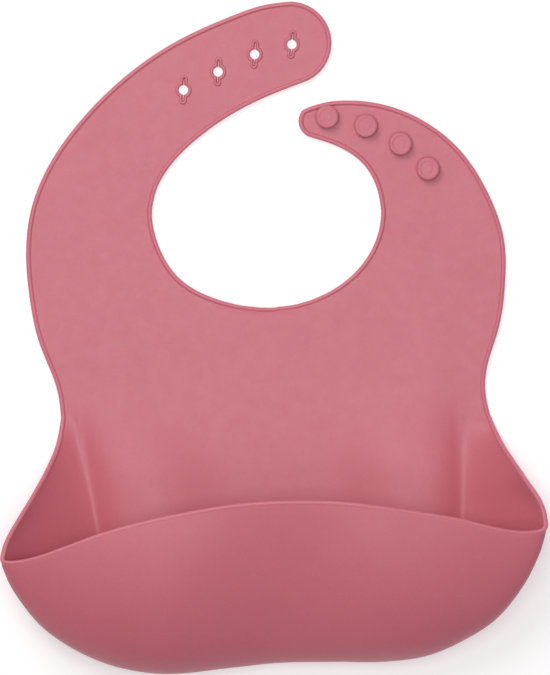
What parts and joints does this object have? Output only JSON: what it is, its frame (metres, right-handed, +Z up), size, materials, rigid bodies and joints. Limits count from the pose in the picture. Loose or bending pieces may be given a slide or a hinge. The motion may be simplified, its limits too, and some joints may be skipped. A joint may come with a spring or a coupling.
{
  "type": "silicone bib",
  "caption": "Flexible one-piece silicone bib with a bowed crumb catcher, a round neck opening and two straps that fasten with round studs through slotted holes.",
  "frame": {"origin": "middle of the footprint, on the surface that the bib lies on", "axes": "+Z up out of the front face, +Y towards the neck straps, +X towards the short strap"},
  "size_m": [0.2438, 0.2997, 0.0467],
  "materials": {
    "silicone_sheet": "matte moulded silicone, dusty rose",
    "silicone_edge": "matte moulded silicone, slightly lighter where it is thin",
    "silicone_stud": "matte moulded silicone, smoother on the round heads"
  },
  "bodies": {
    "chest": {"chest_panel": "silicone_sheet", "neck_bead": "silicone_edge", "left_side_bead": "silicone_edge", "right_side_bead": "silicone_edge", "left_gusset": "silicone_sheet", "right_gusset": "silicone_sheet", "left_gusset_bead": "silicone_edge", "right_gusset_bead": "silicone_edge"},
    "hole_strap_base": {"hole_strap_base": "silicone_sheet", "hole_strap_base_outer_bead": "silicone_edge", "hole_strap_base_inner_bead": "silicone_edge"},
    "hole_strap_end": {"hole_strap_end": "silicone_sheet", "hole_strap_end_bead": "silicone_edge", "buttonhole_collar_1": "silicone_edge", "buttonhole_collar_2": "silicone_edge", "buttonhole_collar_3": "silicone_edge", "buttonhole_collar_4": "silicone_edge"},
    "stud_strap": {"stud_strap": "silicone_sheet", "stud_strap_bead": "silicone_edge", "stud_1": "silicone_stud", "stud_2": "silicone_stud", "stud_3": "silicone_stud", "stud_4": "silicone_stud"},
    "catcher": {"catcher_front": "silicone_sheet", "catcher_rim": "silicone_edge"}
  },
  "joints": [
    {"name": "hole_strap_root_bend", "type": "hinge", "parent": "chest", "child": "hole_strap_base", "pos_m": [-0.082, 0.05, 0.0018], "axis": [1, 0, 0], "range_deg": [0, 70], "stiffness_Nm_per_rad": 0.004},
    {"name": "hole_strap_mid_bend", "type": "hinge", "parent": "hole_strap_base", "child": "hole_strap_end", "pos_m": [-0.061, 0.092, 0.0018], "axis": [0.8107, -0.5855, 0], "range_deg": [0, 60], "stiffness_Nm_per_rad": 0.003},
    {"name": "stud_strap_bend", "type": "hinge", "parent": "chest", "child": "stud_strap", "pos_m": [0.074, 0.05, 0.0018], "axis": [1, 0, 0], "range_deg": [0, 70], "stiffness_Nm_per_rad": 0.003},
    {"name": "catcher_squeeze", "type": "hinge", "parent": "chest", "child": "catcher", "pos_m": [0, -0.137, 0.001], "axis": [1, 0, 0], "range_deg": [-25, 15], "stiffness_Nm_per_rad": 0.25, "springref_deg": 3.44, "deforming": ["left_gusset", "right_gusset", "left_gusset_bead", "right_gusset_bead"]}
  ],
  "couplings": [
    {"joint": "hole_strap_mid_bend", "follows": "hole_strap_root_bend", "ratio": 0.8}
  ]
}
